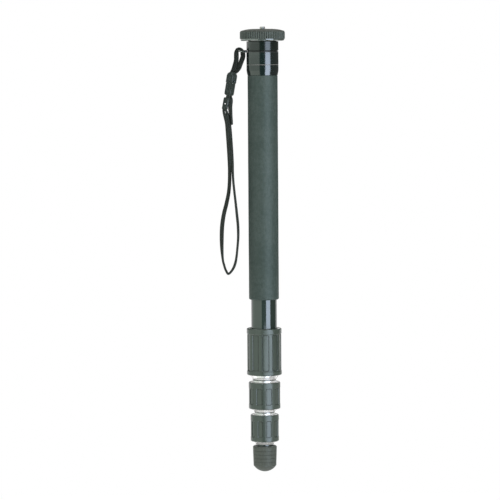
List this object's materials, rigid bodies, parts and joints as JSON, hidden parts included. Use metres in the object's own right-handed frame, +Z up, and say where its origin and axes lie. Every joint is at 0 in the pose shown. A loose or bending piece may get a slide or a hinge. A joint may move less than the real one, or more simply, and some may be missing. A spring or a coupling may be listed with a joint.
{
  "type": "camera monopod",
  "caption": "Collapsed twist-lock camera monopod with a knurled camera platform, foam grip, telescoping tubes, a domed rubber foot and a wrist strap on a buckle.",
  "frame": {"origin": "centre of the pad that the camera sits on, where the camera screw comes out of it", "axes": "+Z up along the camera screw and away from the tubes, -X towards the wrist strap, -Y to the viewer"},
  "size_m": [0.0729, 0.0492, 0.49],
  "materials": {
    "screw_steel": "zinc-plated, lightly brushed",
    "ring_wire": "plain bent wire",
    "pad_rubber": "matt, faintly brown",
    "platform_black": "black anodised, knurled",
    "nylon_white": "natural nylon",
    "cap_black": "satin moulded",
    "neck_gloss": "gloss black",
    "grip_foam": "closed-cell foam rubber, matt",
    "tube_black": "gloss black anodised",
    "bright_aluminium": "polished",
    "nut_rubber": "satin moulded rubber",
    "foot_rubber": "matt moulded rubber",
    "plug_plastic": "moulded",
    "strap_braid": "round-edged nylon braid",
    "strap_webbing": "narrow nylon webbing",
    "buckle_plastic": "satin moulded acetal"
  },
  "bodies": {
    "head": {"camera_screw": "screw_steel", "platform_pad": "pad_rubber", "camera_platform": "platform_black", "pivot_washer": "screw_steel", "pivot_nut": "screw_steel"},
    "upper_section": {"thrust_washer": "nylon_white", "cap_pins": "screw_steel", "head_cap": "cap_black", "neck_collar": "neck_gloss", "foam_grip": "grip_foam", "tube_1": "tube_black", "lock_base_1": "tube_black", "collet_1": "nylon_white"},
    "strap": {"strap_ring": "ring_wire", "strap_hanger": "strap_braid", "buckle_socket": "buckle_plastic", "buckle_plug": "buckle_plastic", "strap_link": "strap_webbing", "strap_slider": "buckle_plastic", "wrist_loop": "strap_webbing", "strap_tail": "strap_webbing"},
    "section_2": {"guide_bush_2": "nylon_white", "tube_2": "tube_black", "lock_base_2": "bright_aluminium", "collet_2": "nylon_white"},
    "section_3": {"guide_bush_3": "nylon_white", "tube_3": "tube_black", "lock_base_3": "bright_aluminium", "collet_3": "nylon_white"},
    "section_4": {"guide_bush_4": "nylon_white", "tube_4": "tube_black", "rubber_foot": "foot_rubber", "foot_plug": "plug_plastic"},
    "nut_1": {"lock_nut_1": "bright_aluminium", "nut_grip_1": "nut_rubber"},
    "nut_2": {"lock_nut_2": "bright_aluminium", "nut_grip_2": "nut_rubber"},
    "nut_3": {"lock_nut_3": "bright_aluminium", "nut_grip_3": "nut_rubber"}
  },
  "joints": [
    {"name": "platform_turn", "type": "hinge", "parent": "head", "child": "upper_section", "pos_m": [0, 0, 0], "axis": [0, 0, 1], "continuous": true},
    {"name": "strap_swivel", "type": "hinge", "parent": "upper_section", "child": "strap", "pos_m": [0, 0, 0], "axis": [0, 0, 1], "continuous": true},
    {"name": "nut_1_turn", "type": "hinge", "parent": "upper_section", "child": "nut_1", "pos_m": [0, 0, 0], "axis": [0, 0, -1], "range_deg": [0, 120]},
    {"name": "section_2_slide", "type": "slide", "parent": "upper_section", "child": "section_2", "axis": [0, 0, -1], "range_m": [0, 0.289]},
    {"name": "nut_2_turn", "type": "hinge", "parent": "section_2", "child": "nut_2", "pos_m": [0, 0, 0], "axis": [0, 0, -1], "range_deg": [0, 120]},
    {"name": "section_3_slide", "type": "slide", "parent": "section_2", "child": "section_3", "axis": [0, 0, -1], "range_m": [0, 0.331]},
    {"name": "nut_3_turn", "type": "hinge", "parent": "section_3", "child": "nut_3", "pos_m": [0, 0, 0], "axis": [0, 0, -1], "range_deg": [0, 120]},
    {"name": "section_4_slide", "type": "slide", "parent": "section_3", "child": "section_4", "axis": [0, 0, -1], "range_m": [0, 0.363]}
  ]
}
